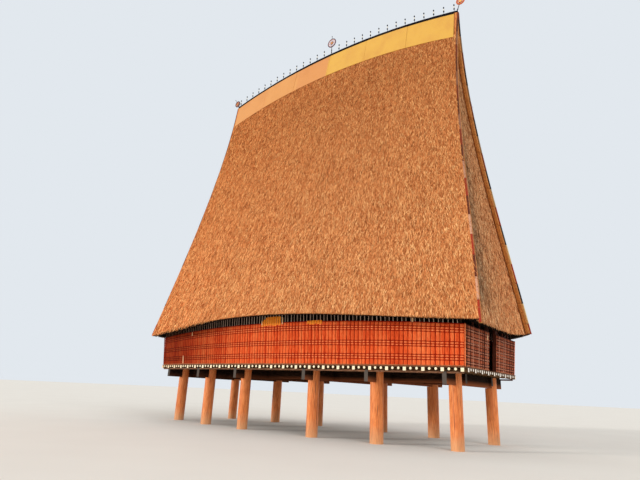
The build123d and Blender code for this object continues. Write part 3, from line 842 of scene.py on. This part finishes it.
def finials():
    """Rows of spikes with three beads each, either side of the middle disc."""
    build = Build()
    spacing, count = 0.55, 14
    for side in (-1, 1):
        for i in range(count):
            foot = spike_foot(side * (spacing + spacing * i))
            lathe(build, foot, [(0, 0.011), (0.2, 0.008), (0.496, 0.005), (0.5, 0.002)], 8)
            for level, radius, kind in ((0.19, 0.039, 1), (0.31, 0.032, 2), (0.43, 0.037, 1)):
                lathe(build, foot, bead(level, radius, radius * 1.45, 0.006), kind=kind)
    finishes = "pole", "bead_dark", "paint_white"
    build.piece("finials", finishes, "ridge_finials", smooth=True)


def flat_ring(build, centre, inner, outer, half, kind):
    """Upright ring with eased edges, half its thickness each way."""
    ease, crown = 0.006, 0.004
    front = [(inner, half), (inner + ease, half + crown), (outer - ease, half + crown), (outer, half)]
    back = [(radius, -y) for radius, y in front]
    loop = back + front[::-1] + back[:1]
    rings = [ring_points(centre + y * AXIS_Y, AXIS_X, AXIS_Z, radius, 40) for radius, y in loop]
    build.tube(rings, kind, caps=False)


def spoke(build, centre, angle, radius):
    out = AXIS_X * math.cos(angle) + AXIS_Z * math.sin(angle)
    wide = AXIS_Z * math.cos(angle) - AXIS_X * math.sin(angle)
    thick = 0.01 * AXIS_Y
    rings = []
    for place, half in ((0.09, 0.012), ((radius + 0.02) / 2, 0.022), (radius - 0.07, 0.012)):
        middle, aside = centre + out * place, wide * half
        near, far = middle - thick, middle + thick
        rings.append([near - aside, near + aside, far + aside, far - aside])
    build.tube(rings, 1)


def sun_disc(word, x, lean, radius, rise, paints):
    """Spoked disc on a leaning stem. The paints are for its rim, spokes and hub."""
    build = Build()
    foot, slant, top = spike_foot(x), lean / rise, rise + radius + 0.19
    lathe(build, foot, [(0, 0.02), (top, 0.012)], 10, 3, slant)
    knob = (top - 0.03, 0.014), (top - 0.01, 0.03), (top, 0.03), (top + 0.012, 0.012)
    lathe(build, foot, knob, 10, 0, slant)
    for level in (0.16, 0.30) if rise > 0.6 else (0.10,):
        lathe(build, foot, bead(level, 0.036, 0.045, 0.014), 10, 4, slant)
    centre = np.add(foot, (lean, 0, rise))
    flat_ring(build, centre, radius - 0.05, radius, 0.016, 0)
    flat_ring(build, centre, radius - 0.075, radius - 0.05, 0.012, 1)
    flat_ring(build, centre, 0.0005, 0.085, 0.016, 2)
    flat_ring(build, centre, 0.085, 0.1, 0.018, 0)
    for number in range(8):
        spoke(build, centre, number * math.pi / 4, radius)
    build.piece(f"sun_{word}", [*paints, "pole", "bead_dark"], f"sun_disc_{word}")


for side in SIDES:
    ridge_sheets(side)
ridge_log()
finials()
sun_disc("middle", 0.0, 0.0, 0.3, 0.83, ("paint_purple", "paint_pink", "paint_ochre"))
sun_disc("left", 0.022 - RIDGE_X, -0.2, 0.225, 0.33, ("bead_dark", "paint_gold", "paint_ochre"))
sun_disc("right", RIDGE_X - 0.022, 0.2, 0.225, 0.56, ("paint_gold", "paint_gold", "paint_pale"))


# Walls
def front_face(s, z, out):
    """Point of the front wall's face: s along the house at the deck, out from the face."""
    x = s * (1 + LEAN * (z - DECK) / HALL_X)
    return np.array([x, -(wall_line(x) + LEAN * (z - DECK) + out), z])


def end_face(s, z, out):
    """The same for the right end wall, from the corner at s = -HALL_Y to the doorway."""
    spread = (-s - DOOR_HALF) / (HALL_Y - DOOR_HALF)
    return np.array([HALL_X + LEAN * (z - DECK) + out, s - LEAN * (z - DECK) * spread, z])


def upright(face, s, z, half, outer_half, foot, out):
    """Section of a strip that stands on a wall face, narrower on its outer side."""
    places = (s - half, foot), (s - outer_half, out), (s + outer_half, out), (s + half, foot)
    return [face(place, z, depth) for place, depth in places]


def lying(face, s, z, half, outer_half, foot, out):
    """Section of a strip that runs along a wall face."""
    places = (z - half, foot), (z - outer_half, out), (z + outer_half, out), (z + half, foot)
    return [face(s, level, depth) for level, depth in places]


def slats(build, face, start, stop, top, pitch):
    """Crowned slats side by side. Gives the place and half width of each."""
    section = (-1, -0.024), (-1, -0.012), (-0.6, -0.001), (0, 0.004), (0.6, -0.001), (1, -0.012), (1, -0.024)
    count = round((stop - start) / pitch)
    pitch = (stop - start) / count
    places = []
    for i in range(count):
        s = start + (i + 0.5) * pitch + rng.normal(0, 0.002)
        half = pitch / 2 - 0.014 + rng.uniform(-0.003, 0.003)
        high = top(s) - 0.004 + rng.uniform(-0.012, 0.0)
        bend = rng.normal(0, 0.003)
        rings = []
        for t in np.linspace(0, 1, 6):
            z = DECK + 0.004 + (high - DECK) * t
            middle = s + bend * math.sin(t * math.pi)
            wide = half * (1 + 0.03 * math.sin(t * 9 + i))
            rings.append([face(middle + wide * place, z, out) for place, out in section])
        build.tube(rings, SLAT)
        places.append((s, half))
    return places


def backing(build, face, start, stop, top):
    stations = np.linspace(start, stop, max(3, round((stop - start) / 0.66)) + 1)

    def skin(out):
        foot = [face(s, DECK + 0.004, out) for s in stations]
        head = [face(s, top(s) - 0.02, out) for s in stations]
        return np.array([foot, head])

    build.slab(skin(-0.026), skin(-WALL), BACKING)


def rod(build, face, stations, levels, half, out, kind):
    rings = []
    for s, level in zip(stations, levels):
        rings.append(lying(face, s, level + rng.normal(0, 0.003), half, half * 0.6, -0.002, out))
    build.tube(rings, kind)


def tie(build, face, s, z, half):
    """Woven strip over one slat, thinner at both sides."""
    rings = []
    for place, full in ((-1, 0.55), (-0.5, 1), (0.5, 1), (1, 0.55)):
        tall, out = 0.026 * full, 0.004 + 0.006 * full
        rings.append(lying(face, s + place * half, z, tall, tall / 2, -0.003, out))
    build.tube(rings, TIE)


def end_sticks(build, start, stop):
    """Sticks up an end wall at uneven distances, about a third of them pale."""
    for s in np.arange(start + 0.10, stop - 0.05, 0.29):
        s += rng.uniform(-0.07, 0.07)
        levels = np.linspace(DECK + 0.03, WALL_TOP - 0.03, 5)
        rings = [upright(end_face, s, z, 0.018, 0.012, -0.002, 0.012) for z in levels]
        build.tube(rings, TIE if rng.uniform() < 0.3 else ROD)


def wall(name, node, side, end, face, start, stop, top, pitch, groups, finishes):
    """Slats over a backing, with groups of tied rows between dark rods, partly binding and partly painted
    shade above and below each row.

    A group is its share of the wall's height, with its rows' distances from there.
    """
    build = Build()
    places = slats(build, face, start, stop, top, pitch)
    backing(build, face, start, stop, top)
    stations = np.linspace(start + 0.01, stop - 0.01, max(4, round((stop - start) / 0.33)))
    for share, rows in groups:
        drift = rng.normal(0, 0.012) if len(rows) == 1 else 0.0
        for row in rows:
            for s, half in places:
                z = DECK + share * (top(s) - DECK) + row + rng.normal(0, 0.005) + drift * (s - start)
                tie(build, face, s, z, half * rng.uniform(0.5, 0.75))
        # Dark rods above and below each row: binding, and painted shade beside the woven strips
        for step in (rows[0] - 0.045, *(row + 0.045 for row in rows)):
            levels = DECK + share * (top(stations) - DECK) + step
            rod(build, face, stations, levels, 0.017, 0.006, ROD)
    if face is end_face:
        end_sticks(build, start, stop)
    rod(build, face, stations, top(stations) - 0.02, 0.018, 0.008, ROD)
    rod(build, face, stations, DECK + 0.026 + 0 * stations, 0.02, 0.008, FOOT)
    build.piece(name, finishes, node, side, end)


def long_wall(side):
    groups = [(share, (-0.045, 0.045)) for share in (0.20, 0.50, 0.84)]
    finishes = "slat_x", "wall_back", "binding", "tie", "foot_strip"
    place = front_face, 0.04 - HALL_X, HALL_X - 0.04, wall_top, SLAT_PITCH
    wall(f"slats_{side}", f"{side}_wall", side, "right", *place, groups, finishes)


def end_wall(side, end):
    groups = [(share, (0.0,)) for share in (0.10, 0.25, 0.40, 0.55, 0.70, 0.87)]
    finishes = "slat_y", "end_back", "end_binding", "tie_end", "foot_strip"
    place = end_face, 0.045 - HALL_Y, -DOOR_HALF, end_wall_top, END_SLAT_PITCH
    wall(f"slats_{end}_{side}", f"{end}_wall_{side}", side, end, *place, groups, finishes)


def corner_stick(side, end):
    build = Build()
    rings = []
    for t in np.linspace(0, 1, 7):
        z = DECK + 0.01 + (WALL_TOP - 0.01 - DECK) * t
        out = LEAN * (z - DECK) - 0.014
        centre = np.array([HALL_X + out, -(HALL_Y + out), z])
        rings.append(ring_points(centre, AXIS_X, AXIS_Y, 0.02 + 0.002 * math.sin(t * 7), 10))
    build.tube(rings)
    build.piece(f"corner_{side}_{end}", ["tie"], None, side, end, smooth=True)


def vent_bars(side):
    """Thin uprights in the gap between wall and eave, pale at their feet, their upper parts dark as painted
    shade under the eave.
    """
    build = Build()
    count, first, pitch, thick = 101, -8.35, 0.167, 0.008
    for i in range(count):
        s = first + i * pitch + rng.normal(0, 0.006)
        low = wall_top(s) - 0.015
        high = low
        while high < 7.0 and wall_line(s) + LEAN * (high - DECK) - 0.03 < slope_reach(s, high) - THATCH:
            high += 0.05
        half = 0.012 + rng.uniform(-0.003, 0.004)
        drift = rng.normal(0, 0.012)
        rings = []
        for t in (0, 0.28, 1):
            x, z = s + drift * t, low + (high - low) * t
            y = -(wall_line(s) + LEAN * (z - DECK) - 0.012)
            rings.append(rectangle(x - half, x + half, y - thick, y + thick, z))
        # The lower part pale, the upper part in the dark stud finish: painted shade under the eave
        build.tube(rings[:2], 0)
        build.tube(rings[1:], 1)
    build.piece(f"vent_bars_{side}", ["bar", "stud"], side=side)


def vent_patch(word, start, stop, tall):
    """Bare boards that close a stretch of the gap under the eave, lower at its left end."""
    build = Build()
    lap, ramp = 0.1, 0.4
    for s in np.arange(start, stop, 0.125):
        low = wall_top(s) - lap
        high = low + lap + tall * min(1.0, (s - start + 0.12) / ramp)
        levels = np.linspace(low - rng.uniform(0, 0.05), high, 4)
        build.tube([upright(front_face, s, z, 0.055, 0.05, 0.0, 0.009) for z in levels])
    build.piece(f"vent_patch_{word}", ["patch"])


def loose_stick(word, face, s, low, high):
    build = Build()
    halves = 0.030, 0.034, 0.032, 0.026, 0.016
    levels = zip(np.linspace(low, high, len(halves)), halves)
    build.tube([upright(face, s, z, half, half / 2, 0.004, 0.022) for z, half in levels])
    build.piece(f"loose_stick_{word}", ["loose"])


for side in SIDES:
    long_wall(side)
for side, end in CORNERS:
    end_wall(side, end)
for side, end in CORNERS:
    corner_stick(side, end)
for side in SIDES:
    vent_bars(side)
vent_patch("tall", -0.3, 0.8, 0.25)
vent_patch("low", 2.2, 2.9, 0.03)
loose_stick("low", front_face, -6.3, 2.84, 3.24)
loose_stick("high", front_face, -5.5, 4.2, 4.38)
loose_stick("patch_left", front_face, -0.33, 4.46, 4.66)
loose_stick("patch_right", front_face, 0.86, 4.46, 4.76)
loose_stick("eave", front_face, 6.66, 4.34, 4.56)
loose_stick("door", end_face, -0.66, 3.92, 4.1)


# Posts and long beams
def stilt(side, number, x, radius):
    """Round post with drying cracks, its top cut back to a shoulder and a tongue."""
    seed = number + (20 if side == "back" else 0)
    row = np.random.default_rng(seed)
    y = -SIDES[side][1] * (POST_ROW_Y + arc_rise(x, POSTS_X[-1], POST_ROW_BOW))
    angle = np.linspace(0, 2 * np.pi, 72, endpoint=False)
    shape = sum(row.uniform(0.001, 0.004) * np.cos(k * angle + row.uniform(0, 6)) for k in range(2, 6))
    cracks = [row.uniform((0, 0, 1.2, -0.1), (2 * np.pi, 1.2, 2.6, 0.1)) for _ in range(7)]
    shaft = np.linspace(0, SHOULDER, 22)
    tongue = [SHOULDER, *np.linspace(SHOULDER + 0.03, FRAME_TOP, 6)]
    rings = []
    for n, z in enumerate([*shaft, *tongue]):
        uneven = shape * (1 + 0.5 * math.sin(z * 1.3 + seed)) * 0.9
        r = np.minimum(radius - 0.004 + uneven, radius)
        for where, low, high, drift in cracks:
            if low < z < high:
                gap = np.abs((angle - where - drift * z + np.pi) % (2 * np.pi) - np.pi)
                r = r - 0.012 * np.clip(1 - gap / 0.07, 0, 1)
        px, py = r * np.cos(angle), r * np.sin(angle)
        if n >= len(shaft):
            px = np.maximum(px, TONGUE)
        rings.append(np.stack([x + px, y + py, 0 * px + z], -1))
    build = Build()
    build.tube(rings)
    build.piece(f"stilt_{side}_{number}", ["post"], f"post_{side}_{number}")


def hewn_beam(side):
    """Long floor beam with hand-hewn edges, cut off short of the hall's ends."""
    build = Build()
    y, ease, top = -SIDES[side][1] * BEAM_Y, 0.02, FRAME_TOP
    rings = []
    for x in np.linspace(-BEAM_X, BEAM_X, 60):
        half = BEAM_HALF - 0.003 + rng.uniform(-0.003, 0.003)
        low = top - BEAM_DEPTH + 0.004 + rng.uniform(-0.004, 0.004)
        outline = (y - half, low + ease), (y - half + ease, low), (y + half - ease, low)
        outline += (y + half, low + ease), (y + half, top), (y - half, top)
        rings.append([(x, *corner) for corner in outline])
    build.tube(rings)
    build.piece(f"long_beam_{side}", ["long_beam"], f"floor_beam_{side}")


for number, (x, radius) in enumerate(zip(POSTS_X, POST_RADII), start=1):
    for side in SIDES:
        stilt(side, number, x, radius)
for side in SIDES:
    hewn_beam(side)

# Nodes that stay as they are in the CAD part, and their finishes
KEPT_NODES = {
    "cross": ["cross_beams"],
    "edge": ["edge_beam_front", "edge_beam_back"],
    "joist": ["floor_joists", "floor_poles"],
    "end_joist": ["end_joists"],
    "deck": ["floor_deck"],
    "stud": ["wall_studs_front", "wall_studs_back"],
    "door_post": ["end_studs"],
}
for key, names in KEPT_NODES.items():
    for name in names:
        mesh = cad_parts[name].data
        mesh.materials.clear()
        mesh.materials.append(finish[key])


# Floor, light and camera
def pale_floor(reach=400.0):
    ground = Shade("ground", 0.9, 0.1)
    uneven = ground.noise((0.3, 0.3, 0.3), detail=3)
    finish["ground"] = ground.finished(ground.mix(uneven, tone(226, 224, 218), tone(219, 216, 210)))
    build = Build()
    build.add(rectangle(-reach, reach, -reach, reach, 0), [[0, 1, 2, 3]])
    build.make("floor_plane", ["ground"])


def studio_world():
    """Soft light from all round, with a pale background for the camera and reflections."""
    world = bpy.data.worlds.new("studio")
    bpy.context.scene.world = world
    world.use_nodes = True
    tree = world.node_tree
    tree.nodes.clear()
    shown = add_node(tree, "LightPath", "Is Camera Ray", {})
    for kind in ("Is Glossy Ray", "Is Transmission Ray"):
        ray = add_node(tree, "LightPath", kind, {})
        shown = add_node(tree, "Math", 0, {0: shown, 1: ray}, operation="MAXIMUM")
    soft = add_node(tree, "Background", 0, {"Color": (1.0, 0.985, 0.965, 1), "Strength": 0.78})
    pale = add_node(tree, "Background", 0, {"Color": tone(226, 232, 238), "Strength": 1.0})
    both = add_node(tree, "MixShader", 0, {0: shown, 1: soft, 2: pale})
    tree.links.new(both, tree.nodes.new("ShaderNodeOutputWorld").inputs[0])


def sun(name, strength, spread, direction, colour=(1.0, 1.0, 1.0)):
    """Sun lamp that shines along direction, spread over so many degrees."""
    lamp = bpy.data.lights.new(name, "SUN")
    lamp.energy = strength
    lamp.angle = math.radians(spread)
    lamp.color = colour
    turn = Vector(direction).to_track_quat("-Z", "Y")
    add_object(name, lamp).matrix_world = turn.to_matrix().to_4x4()


def photo_camera():
    """Camera where the photograph was taken, its place in metres and its turns in degrees."""
    place = 14.728, -19.325, 1.765
    yaw, pitch, roll = 37.742, 17.533, 2.605
    focal_pixels, photo_width = 479.12, 640
    lens = bpy.data.cameras.new("camera")
    lens.sensor_width = 36
    lens.lens = focal_pixels / photo_width * lens.sensor_width
    lens.clip_end = 2000
    camera = add_object("camera", lens)
    camera.matrix_world = Matrix.Translation(place)
    for turn, axis in ((yaw, "Z"), (90 + pitch, "X"), (roll, "Z")):
        camera.matrix_world @= Matrix.Rotation(math.radians(turn), 4, axis)
    bpy.context.scene.camera = camera


pale_floor()
studio_world()
sun("key", 1.75, 9, (0.60, 0.76, -0.25), (1.0, 0.95, 0.88))
sun("fill", 0.9, 40, (-0.74, 0.3, -0.6))
photo_camera()
bpy.context.scene.view_settings.view_transform = "Standard"
